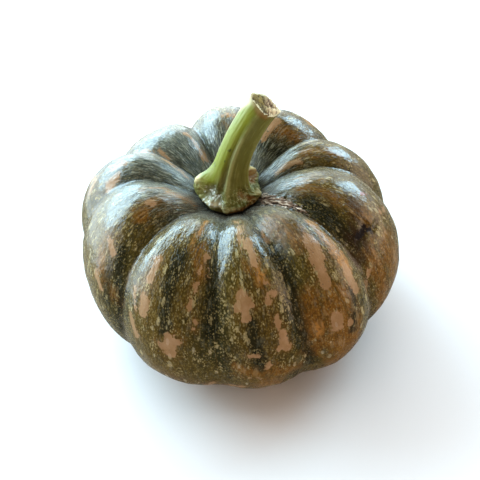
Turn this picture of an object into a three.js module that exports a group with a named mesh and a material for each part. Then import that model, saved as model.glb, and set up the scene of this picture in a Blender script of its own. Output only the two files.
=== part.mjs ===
import * as THREE from 'three';

// A whole ribbed squash with its stem, in millimetres, +Z up. It rests on the undersides of its lobes,
// and the origin is in the middle of the ground that it covers. Angles are in degrees, anticlockwise
// from +X as seen from above.

// The fruit's outline along the crest of a lobe, from the middle of the stem pit, over the shoulder and
// down the flank, to the blossom end: distance from the axis, height, depth of the furrows beside it.
const CREST_OUTLINE = [
  [0, 82, 0],
  [10, 82.3, 0],
  [19, 86, 1.2],
  [31, 98, 5.5],
  [47, 104.5, 9],
  [63, 101.5, 9.5],
  [80, 88, 9],
  [92.5, 66, 8],
  [96, 43, 7],
  [90.5, 21, 5],
  [76, 4, 4],
  [57, -3, 3.5],
  [38, -1, 2.5],
  [20, 7, 1],
  [0, 9, 0],
];
// Furrows sink towards a ring of this radius and height, which runs through the middle of the flesh.
const FLESH_RING = [50, 50];

// The ten lobes, in order round the fruit: angle of the furrow before the lobe, how much further out and
// how much higher than the outline the lobe grew, and the depth of that furrow as a share of the outline's.
const LOBES = [
  { furrow: 2, out: 2, up: -2.5, depth: 0.9 },
  { furrow: 28, out: -7, up: 4.5, depth: 1.1 },
  { furrow: 70, out: -2, up: 0.5, depth: 1 },
  { furrow: 107, out: -3.5, up: -0.5, depth: 1.3 },
  { furrow: 147, out: 2, up: 3, depth: 0.8 },
  { furrow: 177, out: -3.5, up: 1, depth: 0.6 },
  { furrow: 219, out: 0, up: -4, depth: 1 },
  { furrow: 259, out: 1, up: -5.5, depth: 0.7 },
  { furrow: 289, out: 4, up: -3.5, depth: 0.9 },
  { furrow: 319, out: 4, up: -0.5, depth: 1 },
];
const LOBE_ARCH = 0.75; // how far a lobe's back bends: 0 is a parabola, 1 a full half circle
const FURROW_FLOOR = 0.07; // width of a furrow's rounded floor, as a share of half a lobe
const PIT_RADIUS = 18; // inside this the pit is round, and the lobes' own growth starts at its edge
const FULL_RADIUS = 95; // here a lobe has all of its own reach
const FULL_HEIGHT = 100; // and here all of its own lift
const LIFT_EDGE = [12, 52]; // the lift starts and is complete at these distances from the axis
const GROWTH_LIMIT = 1.2; // growth past the full radius and height stops at this share

// A ridge of cork that healed over a crack, in the furrow at the front right of the pit.
const CORK = { angle: 320, from: 26, to: 47, width: 1.6, height: 1.3 };

// The stem from its foot to its cut: x, y, z of its middle, its radius, and the depth of the grooves
// between its ribs as a share of that radius.
const STEM_LINE = [
  [0, 0, 87, 18.2, 0.05],
  [0, 0, 89.3, 19.8, 0.12],
  [0.1, 0, 93, 17.2, 0.17],
  [1.4, 0.3, 98.5, 12.4, 0.17],
  [3.8, 1, 107, 9.4, 0.16],
  [8, 2, 117.5, 8.8, 0.15],
  [14, 3.2, 127.5, 8.5, 0.13],
  [20, 4.3, 135, 8.5, 0.11],
  [23, 4.8, 138.4, 8.7, 0.09],
];
// The stem's five ribs: angle at the foot, and how far the foot spreads out under the rib.
const STEM_RIBS = [
  { angle: 30, spread: 3 },
  { angle: 118, spread: 0.5 },
  { angle: 190, spread: 3.2 },
  { angle: 264, spread: 0.5 },
  { angle: 333, spread: -1 },
];
const STEM_TWIST = -13; // degrees, from the foot to the cut
const SPREAD_SPAN = [0.6, 4]; // stretch of STEM_LINE on which the ribs spread
const RIB_EDGE = 1.4; // 2 makes the ribs as round as the grooves, 1 makes them sharp
// The cut slants: how steeply, towards which side it is lower, and where in STEM_LINE the rings start to
// slant with it.
const CUT = { slope: Math.tan(THREE.MathUtils.degToRad(17)), lowSide: 235, from: 5.5 };
// The cut's face: share of the radius, height over the cut's edge.
const CUT_DISH = [
  [0.9, 0.3],
  [0.62, -0.8],
  [0.3, -1.3],
];
const STEM_GAP = 0.6; // between the skin of the pit and the stem's foot

const STEPS_PER_LOBE = 10;
const STEPS_ALONG_FRUIT = 34;
const STEPS_PER_RIB = 8;
const STEPS_ALONG_STEM = 22;
const FOOT_CROWDING = 1.3; // over 1 brings the stem's rings closer together in its foot
const STEPS_UNDER_STEM = 5;

// Where the middle of the fruit's footprint lies from the middle of its stem pit.
const FOOTPRINT_MIDDLE = [1.2, -1.4];

const { clamp, degToRad, euclideanModulo, lerp, smoothstep } = THREE.MathUtils;

// A smooth curve through the first and last of its points and close past the others, at t from 0 to the
// number of points less one. `before` and `after` are the points that it would come from and go on to.
function smoothCurve(points, before, after, t) {
  const all = [before, ...points, after];
  const start = Math.min(Math.floor(t), points.length - 2);
  const u = t - start;
  const weights = [(1 - u) ** 3, 3 * u ** 3 - 6 * u ** 2 + 4, -3 * u ** 3 + 3 * u ** 2 + 3 * u + 1, u ** 3];
  return points[0].map((_, axis) => weights.reduce((sum, w, k) => sum + (w * all[start + k][axis]) / 6, 0));
}

// An outline that starts and ends on the axis runs level across it.
function acrossAxis(points, t) {
  const mirrored = ([radius, ...rest]) => [-radius, ...rest];
  return smoothCurve(points, mirrored(points[1]), mirrored(points.at(-2)), t);
}

function freeEnded(points, t) {
  const beyond = (end, next) => end.map((value, axis) => 2 * value - next[axis]);
  return smoothCurve(points, beyond(points[0], points[1]), beyond(points.at(-1), points.at(-2)), t);
}

const FURROW_OUTLINE = CREST_OUTLINE.map(([radius, height, depth]) => {
  const outward = new THREE.Vector2(radius - FLESH_RING[0], height - FLESH_RING[1]).normalize();
  return [radius - outward.x * depth, height - outward.y * depth];
});

// The interval of a ring of angles that holds `angle`: its index, the next one's, and the share of it passed.
function intervalAt(angles, angle) {
  const turned = euclideanModulo(angle, 360);
  const index = (angles.filter((start) => start <= turned).length - 1 + angles.length) % angles.length;
  const next = (index + 1) % angles.length;
  const width = euclideanModulo(angles[next] - angles[index], 360);
  return { index, next, share: euclideanModulo(turned - angles[index], 360) / width };
}

const FURROW_ANGLES = LOBES.map((lobe) => lobe.furrow);

// A point of the fruit's skin, at an angle and at t along CREST_OUTLINE.
function skinPoint(angle, t) {
  const { index, next, share } = intervalAt(FURROW_ANGLES, angle);
  const across = 2 * share - 1;
  const softened = 1 - Math.hypot(1 - Math.abs(across), FURROW_FLOOR);
  const fall = (1 - Math.sqrt(1 - LOBE_ARCH * softened ** 2)) / (1 - Math.sqrt(1 - LOBE_ARCH));
  const sink = fall * LOBES[across < 0 ? index : next].depth;

  // A lobe's own growth passes into its neighbour's at the furrow between them.
  const neighbour = LOBES[across < 0 ? (index + LOBES.length - 1) % LOBES.length : next];
  const own = (1 + Math.cos(across * Math.PI)) / 4 + 0.5;
  const out = lerp(neighbour.out, LOBES[index].out, own);
  const up = lerp(neighbour.up, LOBES[index].up, own);

  const crest = acrossAxis(CREST_OUTLINE, t);
  const floor = acrossAxis(FURROW_OUTLINE, t);
  let radius = lerp(crest[0], floor[0], sink);
  let height = lerp(crest[1], floor[1], sink);
  const outShare = clamp((radius - PIT_RADIUS) / (FULL_RADIUS - PIT_RADIUS), 0, GROWTH_LIMIT);
  const upShare = clamp(height / FULL_HEIGHT, 0, GROWTH_LIMIT);
  height += up * upShare * clamp((radius - LIFT_EDGE[0]) / (LIFT_EDGE[1] - LIFT_EDGE[0]), 0, 1);
  height += corkAt(angle, radius, height);
  radius += out * outShare;
  return onAxis(angle, radius, Math.max(height, 0));
}

function corkAt(angle, radius, height) {
  const across = degToRad(angle - CORK.angle) * radius;
  const along = clamp((radius - CORK.from) / (CORK.to - CORK.from), 0, 1);
  const onTop = height > FLESH_RING[1] ? 1 : 0;
  return onTop * CORK.height * Math.sin(along * Math.PI) * Math.exp(-((across / CORK.width) ** 2));
}

function onAxis(angle, radius, height) {
  return new THREE.Vector3(
    radius * Math.cos(degToRad(angle)) - FOOTPRINT_MIDDLE[0],
    radius * Math.sin(degToRad(angle)) - FOOTPRINT_MIDDLE[1],
    height,
  );
}

const PIT_END = 4; // a place in CREST_OUTLINE outside the pit
const HALVINGS = 30;

// Height of the pit's skin at an angle and a distance from the axis.
function pitHeight(angle, radius) {
  const axis = onAxis(0, 0, 0);
  let low = 0;
  let high = PIT_END;
  for (let halving = 0; halving < HALVINGS; halving += 1) {
    const middle = (low + high) / 2;
    const point = skinPoint(angle, middle);
    const reached = Math.hypot(point.x - axis.x, point.y - axis.y) < radius;
    low = reached ? middle : low;
    high = reached ? high : middle;
  }
  return skinPoint(angle, low).z;
}

const RIB_ANGLES = STEM_RIBS.map((rib) => rib.angle);

// The stem's middle, direction, and two directions across it, at t along STEM_LINE.
function stemFrame(t) {
  const at = (place) => {
    const [x, y, z] = freeEnded(STEM_LINE, place);
    return new THREE.Vector3(x - FOOTPRINT_MIDDLE[0], y - FOOTPRINT_MIDDLE[1], z);
  };
  const last = STEM_LINE.length - 1;
  const reach = 0.01; // the direction is read between two places this far to either side
  const along = at(Math.min(t + reach, last)).sub(at(Math.max(t - reach, 0))).normalize();
  const right = new THREE.Vector3(1, 0, 0).addScaledVector(along, -along.x).normalize();
  const back = new THREE.Vector3().crossVectors(along, right);
  return { middle: at(t), along, right, back };
}

// The stem's radius at an angle and at t along STEM_LINE, with its ribs and grooves.
function stemRadius(angle, t) {
  const { index, next, share } = intervalAt(RIB_ANGLES, angle);
  const [, , , girth, depth] = freeEnded(STEM_LINE, t);
  const groove = Math.sin(share * Math.PI) ** RIB_EDGE;
  const spread = lerp(STEM_RIBS[index].spread, STEM_RIBS[next].spread, share) * (1 - groove);
  const spreading = clamp((t - SPREAD_SPAN[0]) / (SPREAD_SPAN[1] - SPREAD_SPAN[0]), 0, 1);
  return girth * (1 - depth * groove) + spread * Math.sin(spreading * Math.PI) ** 2;
}

// A point of the stem's bark, at an angle and at t along STEM_LINE.
function barkPoint(angle, t) {
  const radius = stemRadius(angle, t);
  const { middle, along, right, back } = stemFrame(t);
  const last = STEM_LINE.length - 1;
  const turned = degToRad(angle + (STEM_TWIST * t) / last);
  const slant = -CUT.slope * Math.cos(turned - degToRad(CUT.lowSide)) * radius * smoothstep(t, CUT.from, last);
  middle.addScaledVector(right, radius * Math.cos(turned));
  middle.addScaledVector(back, radius * Math.sin(turned));
  middle.addScaledVector(along, slant);
  // The rim of the foot follows the skin of the pit, and the rings above it level out.
  const rim = pitHeight(angle, stemRadius(angle, 0)) + STEM_GAP;
  middle.z += (rim - STEM_LINE[0][2]) * Math.max(1 - t, 0);
  return middle;
}

// A closed surface from a point, rings of points and a point again. The rings run anticlockwise as seen
// from the last point, and every ring has the same number of points.
function closedSkin(first, rings, last) {
  const size = rings[0].length;
  const points = [first, ...rings.flat(), last];
  const faces = [];
  const at = (ring, place) => 1 + ring * size + (place % size);
  for (let place = 0; place < size; place += 1) {
    faces.push(0, at(0, place + 1), at(0, place));
    faces.push(points.length - 1, at(rings.length - 1, place), at(rings.length - 1, place + 1));
    for (let ring = 0; ring < rings.length - 1; ring += 1) {
      const corners = [at(ring, place), at(ring, place + 1), at(ring + 1, place + 1), at(ring + 1, place)];
      const [a, b, c, d] = corners;
      const acrossAC = points[a].distanceTo(points[c]) <= points[b].distanceTo(points[d]);
      faces.push(...(acrossAC ? [a, b, c, a, c, d] : [a, b, d, b, c, d]));
    }
  }
  const geometry = new THREE.BufferGeometry().setFromPoints(points);
  geometry.setIndex(faces);
  geometry.computeVertexNormals();
  return geometry;
}

// Angles round a ring: each interval gets the same steps, closer together beside its ends if `crowded`.
function anglesAround(starts, steps, crowded) {
  return starts.flatMap((start, index) => {
    const width = euclideanModulo(starts[(index + 1) % starts.length] - start, 360);
    return Array.from({ length: steps }, (_, step) => {
      const even = step / steps;
      const share = crowded ? (1 - Math.cos(even * Math.PI)) / 2 : even;
      return start + share * width;
    });
  });
}

function makeFruit() {
  const angles = anglesAround(FURROW_ANGLES, STEPS_PER_LOBE, true);
  const end = CREST_OUTLINE.length - 1;
  const rings = [];
  for (let step = STEPS_ALONG_FRUIT - 1; step > 0; step -= 1) {
    const t = (step / STEPS_ALONG_FRUIT) * end;
    rings.push(angles.map((angle) => skinPoint(angle, t)));
  }
  const skin = new THREE.MeshStandardMaterial({ color: 0x4a4526, roughness: 0.35, metalness: 0 });
  const fruit = new THREE.Mesh(closedSkin(skinPoint(0, end), rings, skinPoint(0, 0)), skin);
  fruit.name = 'fruit';
  return fruit;
}

function makeStem() {
  const angles = anglesAround(RIB_ANGLES, STEPS_PER_RIB, false);
  const rings = [];
  // Underside of the foot, which lies on the round floor of the pit.
  for (let step = 1; step < STEPS_UNDER_STEM; step += 1) {
    rings.push(angles.map((angle) => {
      const radius = (stemRadius(angle, 0) * step) / STEPS_UNDER_STEM;
      return onAxis(angle, radius, pitHeight(angle, radius) + STEM_GAP);
    }));
  }
  // Foot and shaft.
  const last = STEM_LINE.length - 1;
  for (let step = 0; step <= STEPS_ALONG_STEM; step += 1) {
    const t = last * (step / STEPS_ALONG_STEM) ** FOOT_CROWDING;
    rings.push(angles.map((angle) => barkPoint(angle, t)));
  }
  // The dry cut, a little hollow in the middle.
  const rim = rings.at(-1);
  const { middle, along } = stemFrame(last);
  CUT_DISH.forEach(([share, height]) => {
    rings.push(rim.map((point) => middle.clone().lerp(point, share).addScaledVector(along, height)));
  });
  const floor = middle.clone().addScaledVector(along, CUT_DISH.at(-1)[1]);
  const underside = onAxis(0, 0, pitHeight(0, 0) + STEM_GAP);
  const bark = new THREE.MeshStandardMaterial({ color: 0x7d7f35, roughness: 0.6, metalness: 0 });
  const stem = new THREE.Mesh(closedSkin(underside, rings, floor), bark);
  stem.name = 'stem';
  return stem;
}

const squash = new THREE.Group();
squash.add(makeFruit(), makeStem());

export default squash;
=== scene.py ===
import math
import random

import bpy
import numpy as np
from mathutils import Matrix, Vector
from mathutils.bvhtree import BVHTree


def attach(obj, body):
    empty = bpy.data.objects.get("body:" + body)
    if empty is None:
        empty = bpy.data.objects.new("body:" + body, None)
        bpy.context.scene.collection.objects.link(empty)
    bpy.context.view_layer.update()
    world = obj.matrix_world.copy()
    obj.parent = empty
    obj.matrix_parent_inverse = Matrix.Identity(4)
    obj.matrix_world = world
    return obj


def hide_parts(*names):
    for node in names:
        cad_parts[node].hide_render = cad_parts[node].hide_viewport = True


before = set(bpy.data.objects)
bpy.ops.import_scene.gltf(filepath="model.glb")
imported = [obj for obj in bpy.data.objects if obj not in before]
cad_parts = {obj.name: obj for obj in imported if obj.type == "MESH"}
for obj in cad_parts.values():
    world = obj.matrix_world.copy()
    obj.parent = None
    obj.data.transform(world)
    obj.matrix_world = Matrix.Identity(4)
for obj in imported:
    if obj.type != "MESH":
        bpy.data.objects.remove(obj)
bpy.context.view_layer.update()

# Fruit, its shape: one grown body of ten uneven lobes round a stem pit, with a thin hard rind. It stands
# on the undersides of its lobes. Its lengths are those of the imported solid, in millimetres, and the mesh
# follows the same rule as that solid with finer steps and the small lumps of the skin.
MM = 0.001
CREST_OUTLINE = [  # distance from the axis, height, depth of the furrows, from the pit to the blossom end
    (0, 82, 0), (10, 82.3, 0), (19, 86, 1.2), (31, 98, 5.5), (47, 104.5, 9), (63, 101.5, 9.5),
    (80, 88, 9), (92.5, 66, 8), (96, 43, 7), (90.5, 21, 5), (76, 4, 4), (57, -3, 3.5), (38, -1, 2.5),
    (20, 7, 1), (0, 9, 0),
]
FLESH_RING = (50, 50)  # furrows sink towards this distance from the axis and height
LOBES = [  # angle of the furrow before it, reach, lift, that furrow's depth and softness in shares
    (2, 2, -2.5, 0.9, 0.09), (28, -7, 4.5, 1.1, 0.08), (70, -2, 0.5, 1, 0.08), (107, -3.5, -0.5, 1.3, 0.08),
    (147, 2, 3, 0.8, 0.1), (177, -3.5, 1, 0.6, 0.12), (219, 0, -4, 1, 0.1), (259, 1, -5.5, 0.7, 0.22),
    (289, 4, -3.5, 0.9, 0.2), (319, 4, -0.5, 1, 0.1),
]
LOBE_ARCH = 0.75  # how far a lobe's back bends
SOLID_SOFTNESS = 0.07  # furrows softer than this keep the depth that they would have with it
FOOTPRINT_MIDDLE = (1.2, -1.4)  # x and y from the axis to the middle of the ground that the fruit covers
STEPS_PER_LOBE = 44
STEPS_ALONG = 214
ROWS_AT = [(0, 0), (0.03, 1.4), (0.4, 4.8), (0.86, 9.3), (1, 14)]  # share of the rows, place on the outline
FURROW_CROWDING = 0.6  # how far the columns gather in the furrows, as a share


def smooth_curve(points, before, after, places):
    """Points of a smooth curve close past its control points, at places from 0 to their number less one."""
    held = np.array([before, *points, after], float)
    start = np.minimum(np.floor(places).astype(int), len(points) - 2)
    u = (places - start)[:, None]
    weights = ((1 - u) ** 3, 3 * u**3 - 6 * u**2 + 4, -3 * u**3 + 3 * u**2 + 3 * u + 1, u**3)
    return sum(weight * held[start + k] for k, weight in enumerate(weights)) / 6


def across_axis(points, places):
    """An outline that starts and ends on the axis and runs level across it."""
    points = np.array(points, float)
    mirror = np.array([-1] + [1] * (points.shape[1] - 1))
    return smooth_curve(points, points[1] * mirror, points[-2] * mirror, places)


def flat_sheet(name, columns, rows, values):
    """A flat grid of quads, columns along X and rows along Y, that carries values at its corners."""
    x, y = np.meshgrid(np.arange(columns), np.arange(rows), indexing="ij")
    corners = np.stack([x, y, 0 * x], -1).reshape(-1, 3) * MM
    first = (np.arange(columns - 1)[:, None] * rows + np.arange(rows - 1)).ravel()
    quads = np.stack([first, first + rows, first + rows + 1, first + 1], -1)
    mesh = bpy.data.meshes.new(name)
    mesh.from_pydata(corners.tolist(), [], quads.tolist())
    for label, value in values.items():
        grid = np.broadcast_to(value, (columns, rows, *np.shape(value)[2:]))
        kind = "FLOAT_VECTOR" if grid.ndim == 3 else "FLOAT"
        attribute = mesh.attributes.new(label, kind, "POINT")
        attribute.data.foreach_set("vector" if grid.ndim == 3 else "value", grid.astype(np.float32).ravel())
    sheet = bpy.data.objects.new(name, mesh)
    bpy.context.scene.collection.objects.link(sheet)
    return sheet


even = np.arange(STEPS_PER_LOBE) / STEPS_PER_LOBE
crowded = even * (1 - FURROW_CROWDING) + (1 - np.cos(even * math.pi)) / 2 * FURROW_CROWDING
lobe_table = np.array(LOBES, float)
lobe_width = (np.roll(lobe_table[:, 0], -1) - lobe_table[:, 0]) % 360
angle = np.append(lobe_table[:, :1] + crowded * lobe_width[:, None], LOBES[0][0] + 360)
lobe = np.append(np.repeat(np.arange(len(LOBES)), STEPS_PER_LOBE), len(LOBES) - 1)
across = np.append(np.tile(2 * crowded - 1, len(LOBES)), 1.0)
next_lobe = (lobe + 1) % len(LOBES)
neighbour = np.where(across < 0, lobe - 1, next_lobe)
own_share = 0.5 + (1 + np.cos(across * math.pi)) / 4
own_growth, next_growth = lobe_table[lobe, 1:3], lobe_table[neighbour, 1:3]
growth = next_growth + (own_growth - next_growth) * own_share[:, None]
nearer = np.where(across < 0, lobe, next_lobe)
softness = lobe_table[nearer, 4]


def fall_at(width_share):
    """How far a lobe's back falls at a share of its half width."""
    return 1 - np.sqrt(1 - LOBE_ARCH * width_share**2)


furrow_depth = lobe_table[nearer, 3] * fall_at(1 - SOLID_SOFTNESS) / fall_at(1 - softness)

place = np.interp(np.linspace(0, 1, STEPS_ALONG), *zip(*ROWS_AT))
crest_controls = np.array(CREST_OUTLINE, float)
outward = crest_controls[:, :2] - FLESH_RING
outward /= np.linalg.norm(outward, axis=1)[:, None]
crest = across_axis(crest_controls[:, :2], place)
furrow = across_axis(crest_controls[:, :2] - outward * crest_controls[:, 2:], place)
furrow[-1] = crest[-1]  # the lobes meet in one point at the blossom end
stride = np.linalg.norm(np.diff(crest, axis=0), axis=1)
run = np.append(0, np.cumsum(stride))  # length walked along the crest

# Fruit, the marks on its skin where the photograph shows them: strokes from one place to another, each an
# angle and a place along the outline twice, then half a width in millimetres. The far side and the
# underside, which the photograph hides, get strokes of the same kinds by a seeded draw.
MARKS = {
    "tan": [
        (232, 5.2, 232, 5.8, 2.3), (232, 6.3, 232, 6.6, 3.1), (226, 7.0, 230, 7.4, 2.3),
        (241, 7.2, 246, 7.0, 2.6), (244, 6.9, 244, 7.4, 3.4), (270, 5.7, 270, 6.3, 2.6),
        (268, 6.0, 272, 6.0, 2.6), (276, 4.2, 277, 5.0, 2.6), (274, 3.1, 274, 4.1, 1.3),
        (282, 6.8, 282, 7.2, 2.6), (279, 7.2, 282, 7.2, 2.0), (305, 5.0, 303, 5.5, 4.0),
        (303, 5.4, 301, 6.1, 2.4), (300, 6.9, 300, 7.2, 2.9), (311, 6.1, 311, 6.7, 2.6),
        (204, 5.8, 208, 5.9, 2.3), (204, 6.8, 209, 7.0, 2.3), (204, 4.1, 205, 4.0, 2.3),
        (252, 5.5, 250, 6.1, 1.0), (252, 5.0, 252, 5.2, 1.0), (254, 4.6, 254, 4.8, 0.8),
        (256, 5.0, 256, 5.2, 0.8), (270, 7.2, 273, 7.3, 1.3), (276, 7.6, 276, 7.7, 1.8),
        (280, 5.6, 279, 6.0, 1.1), (282, 5.8, 282, 5.9, 1.5), (281, 6.4, 281, 6.6, 1.4),
        (304, 7.2, 304, 7.3, 1.5), (225, 6.2, 228, 6.6, 1.5), (252, 6.4, 252, 6.6, 0.8),
        (145, 4.9, 155, 2.4, 1.1), (143, 4.0, 148, 3.4, 0.7), (118, 3.9, 116, 2.6, 1.4),
        (48, 3.3, 46, 4.1, 2.0), (9, 2.7, 8, 3.6, 1.4), (342, 6.2, 348, 6.4, 1.1),
        (322, 6.8, 318, 7.2, 1.4), (266, 8.0, 273, 8.1, 1.4),
    ],
    "orange": [
        (246, 3.1, 246, 4.3, 1.5), (190, 4.2, 188, 3.2, 1.5), (194, 3.2, 202, 2.4, 2.9),
        (315, 4.6, 313, 5.6, 3.2), (313, 5.5, 312, 6.2, 4.2), (342, 3.1, 343, 4.3, 1.1),
        (88, 4.2, 80, 4.2, 1.7), (289, 3.7, 289, 4.2, 1.1), (277, 5.0, 279, 5.3, 2.3),
        (294, 7.0, 294, 7.2, 2.9),
    ],
    "brown": [
        (207, 4.6, 200, 2.4, 4.6), (249, 4.5, 254, 5.2, 4.2), (298, 3.9, 302, 4.9, 5.7),
        (294, 6.2, 291, 7.8, 6.9), (326, 6.4, 326, 8.6, 5.1), (266, 7.7, 286, 8.2, 4.6),
        (296, 7.7, 306, 7.0, 4.6), (44, 3.8, 31, 4.2, 4.0), (13, 3.9, 9, 5.1, 2.9),
        (334, 5.3, 334, 5.9, 3.4), (276, 4.9, 278, 5.5, 3.4), (204, 6.4, 217, 7.0, 4.6),
        (86, 3.8, 81, 3.6, 2.3), (332, 3.6, 333, 5.0, 2.3), (303, 6.6, 303, 8.8, 11.0),
        (335, 6.8, 335, 9.0, 9.0), (296, 3.6, 303, 4.6, 5.0), (275, 8.4, 275, 9.0, 7.0),
    ],
    "dark": [
        (286, 3.6, 289, 4.6, 2.6), (289, 4.6, 290, 5.4, 3.4), (290, 5.4, 289, 6.2, 3.4),
        (289, 6.2, 289, 7.0, 3.4), (289, 7.0, 290, 8.3, 3.4), (242, 4.9, 241, 5.8, 4.0),
        (241, 5.8, 242, 6.8, 3.4), (258, 4.8, 258, 6.7, 4.0), (212, 5.7, 218, 7.0, 2.9),
        (218, 7.0, 218, 8.1, 2.9), (272, 6.4, 273, 7.6, 3.4), (310, 6.5, 305, 7.5, 2.9),
        (326, 4.1, 322, 5.6, 4.0), (164, 3.8, 147, 2.4, 2.0), (134, 3.2, 128, 2.3, 1.7),
        (43, 3.1, 26, 3.4, 2.9), (210, 6.2, 212, 7.2, 2.3), (262, 2.8, 260, 4.3, 1.7),
        (324, 5.6, 324, 6.0, 3.4), (176, 3.8, 177, 4.9, 1.7),
    ],
}
HIDDEN_MARKS = {"tan": 60, "orange": 8, "brown": 16, "dark": 18}  # how many the seeded draw adds
SCARS = {
    "dull": [(299, 3.1, 298, 4.8, 6.5), (310, 4.2, 312, 5.6, 3.2)],  # where the wax is rubbed off
    "rust": [(343, 5.5, 344, 5.65, 0.7)],  # a red graze
    "cork": [  # a healed split that starts at the stem
        (336, 1.95, 329, 2.25, 2.6), (329, 2.25, 322, 2.75, 2.7), (322, 2.75, 320.5, 3.4, 2.1),
        (320.5, 3.4, 320.5, 3.9, 1.5), (320.5, 3.9, 321, 4.2, 0.4), (322, 2.7, 326, 3.1, 0.8),
        (326, 2.2, 318, 2.3, 1.1),
    ],
    "sore": [  # a small rotten dent
        (325.5, 5.92, 328, 5.95, 1.0), (328, 5.95, 330.5, 5.9, 0.8), (330.5, 6.0, 333, 6.12, 0.6),
        (333, 6.12, 336.5, 6.15, 0.2), (324.6, 5.85, 323.4, 5.8, 0.2),
    ],
    "bruise": [(335, 5.4, 327, 5.75, 3.6), (327, 5.75, 322, 6.3, 4.4)],  # brown skin round the dent, darkened also as painted shade of the hollow round it
}
MARK_REACH = 8.0  # millimetres past a mark's edge up to which its distance is kept
chance = random.Random(11)
for kind, number in HIDDEN_MARKS.items():
    long_marks = kind != "tan"
    for _ in range(number):
        far_side = chance.random() < 0.75
        start_angle = chance.uniform(15, 172) if far_side else chance.uniform(180, 370)
        start_place = chance.uniform(4.6, 9.5) if far_side else chance.uniform(8.6, 11)
        length = chance.uniform(0.8, 2.5) if long_marks else chance.uniform(0.1, 0.7)
        width = chance.uniform(2.5, 5.5) if long_marks else chance.uniform(0.8, 3.2)
        lean = chance.uniform(-3, 3)
        MARKS[kind].append((start_angle, start_place, start_angle + lean, start_place + length, width))


def depth_inside(strokes):
    """Millimetres that each corner of the sheet lies inside the nearest stroke, under 0 if outside."""
    inside = np.full((len(angle), len(place)), -MARK_REACH)
    for angle_a, place_a, angle_b, place_b, half_width in strokes:
        start, end = np.interp((place_a, place_b), place, run)
        x = np.radians((angle - angle_a + 180) % 360 - 180)[:, None] * crest[:, 0]
        y = run[None, :] - start
        ahead_x = np.radians(angle_b - angle_a) * crest[None, :, 0]
        ahead_y = end - start
        share = np.clip((x * ahead_x + y * ahead_y) / (ahead_x**2 + ahead_y**2 + 1e-9), 0, 1)
        gone = np.hypot(x - share * ahead_x, y - share * ahead_y)
        inside = np.maximum(inside, half_width - gone)
    return np.minimum(inside, MARK_REACH)


turn = np.radians(angle)[:, None]
widest = crest[:, 0].max()
skin_map = np.stack(np.broadcast_arrays(np.cos(turn) * widest, np.sin(turn) * widest, run), -1) * MM
fruit_skin = flat_sheet("fruit_skin", len(angle), STEPS_ALONG, {
    "turn": turn,
    "across": across[:, None],
    "softness": softness[:, None],
    "furrow_depth": furrow_depth[:, None],
    "skin_place": place[None, :],
    "growth_out": growth[:, :1] * MM,
    "growth_up": growth[:, 1:] * MM,
    "crest_radius": crest[None, :, 0] * MM,
    "crest_height": crest[None, :, 1] * MM,
    "furrow_radius": furrow[None, :, 0] * MM,
    "furrow_height": furrow[None, :, 1] * MM,
    "skin_map": skin_map,
    **{kind: depth_inside(strokes) for kind, strokes in {**MARKS, **SCARS}.items()},
})


class Formula:
    """A number, vector or colour in a node tree. Sums of them read as on paper, a node for each step."""

    def __init__(self, tree, socket):
        self.tree = tree
        self.socket = socket

    def __add__(self, other):
        return calculate(self.tree, "ADD", self, other)

    def __sub__(self, other):
        return calculate(self.tree, "SUBTRACT", self, other)

    def __rsub__(self, other):
        return calculate(self.tree, "SUBTRACT", other, self)

    def __mul__(self, other):
        return calculate(self.tree, "MULTIPLY", self, other)

    def __truediv__(self, other):
        return calculate(self.tree, "DIVIDE", self, other)

    def __pow__(self, other):
        return calculate(self.tree, "POWER", self, other)

    __radd__ = __add__
    __rmul__ = __mul__


def feed(tree, slot, value):
    """Links a formula into a node's input, or sets the input to a plain value."""
    if isinstance(value, Formula):
        tree.links.new(value.socket, slot)
    elif slot.type == "RGBA" and len(value) == 3:
        slot.default_value = (*value, 1)
    else:
        slot.default_value = value


def calculate(tree, operation, *values):
    """The result of a new Math node."""
    node = tree.nodes.new("ShaderNodeMath")
    node.operation = operation
    for slot, value in zip(node.inputs, values):
        feed(tree, slot, value)
    return Formula(tree, node.outputs[0])


def made_by(tree, node_type, inputs=None, output=0, **settings):
    """One output of a new node, with its settings and its named inputs given."""
    node = tree.nodes.new(node_type)
    for name, value in settings.items():
        setattr(node, name, value)
    for name, value in (inputs or {}).items():
        feed(tree, node.inputs[name], value)
    return Formula(tree, node.outputs[output])


def square_root(value):
    return calculate(value.tree, "SQRT", value)


def size_of(value):
    return calculate(value.tree, "ABSOLUTE", value)


def sine(value):
    return calculate(value.tree, "SINE", value)


def cosine(value):
    return calculate(value.tree, "COSINE", value)


def greater(value, other):
    return calculate(value.tree, "MAXIMUM", value, other)


def lesser(value, other):
    return calculate(value.tree, "MINIMUM", value, other)


def ramp(value, low, high):
    """0 up to low, 1 from high, and a straight rise between."""
    return made_by(value.tree, "ShaderNodeMapRange", {"Value": value, "From Min": low, "From Max": high})


def soft_step(value, low, high):
    """0 up to low, 1 from high, and a smooth rise between. High may be under low."""
    inputs = {"Value": value, "From Min": low, "From Max": high}
    return made_by(value.tree, "ShaderNodeMapRange", inputs, interpolation_type="SMOOTHSTEP")


def stretched(vector, x, y, z):
    inputs = {0: vector, 1: (x, y, z)}
    return made_by(vector.tree, "ShaderNodeVectorMath", inputs, operation="MULTIPLY")


def scaled(vector, share):
    return made_by(vector.tree, "ShaderNodeVectorMath", {0: vector, "Scale": share}, operation="SCALE")


def joined(vector, other):
    return made_by(vector.tree, "ShaderNodeVectorMath", {0: vector, 1: other}, operation="ADD")


def noise(vector, scale, detail=2.0, roughness=0.5, distortion=0.0):
    """Even noise round 0.5."""
    inputs = {"Vector": vector, "Scale": scale, "Detail": detail, "Roughness": roughness}
    return made_by(vector.tree, "ShaderNodeTexNoise", {**inputs, "Distortion": distortion})


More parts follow.
